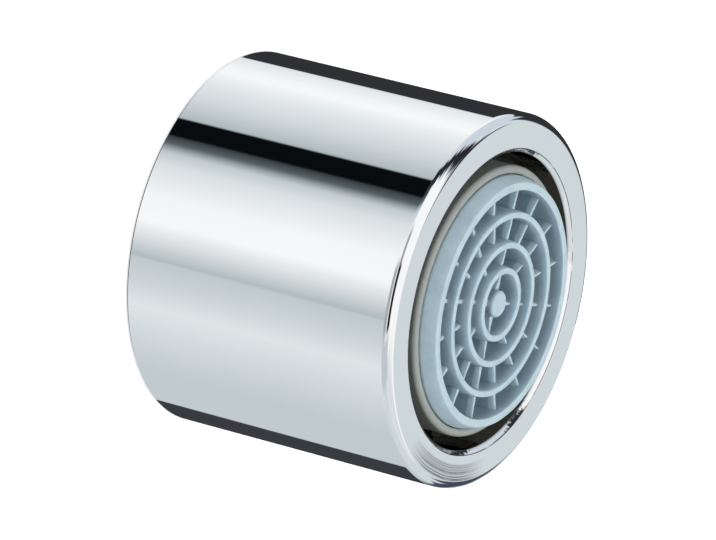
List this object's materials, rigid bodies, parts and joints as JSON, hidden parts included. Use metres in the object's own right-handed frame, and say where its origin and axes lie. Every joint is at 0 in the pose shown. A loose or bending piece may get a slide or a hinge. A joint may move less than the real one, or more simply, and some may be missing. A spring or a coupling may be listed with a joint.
{
  "type": "tap aerator",
  "caption": "Female-threaded tap aerator: round chromed housing with a moulded insert whose ringed outlet grid stands just proud of the lip; it screws onto a spout.",
  "frame": {"origin": "centre of the inlet end face, on the axis", "axes": "+Z along the axis from the inlet to the outlet, so the part stands on its inlet end; the ribs of the outlet grid lie along X and Y"},
  "size_m": [0.024, 0.024, 0.0202],
  "materials": {
    "chrome": "bright chrome plate on turned brass, with fine turning marks on the lip",
    "rubber": "matt black moulded rubber",
    "white_plastic": "satin white moulded plastic",
    "grey_plastic": "satin grey moulded plastic",
    "blue_grey_plastic": "satin pale blue-grey moulded plastic"
  },
  "bodies": {
    "root": {"housing": "chrome", "sealing_washer": "rubber", "strainer": "white_plastic", "jet_plate": "white_plastic", "insert_sleeve": "grey_plastic", "mixing_grid": "white_plastic", "outlet_grid": "blue_grey_plastic"}
  },
  "joints": []
}
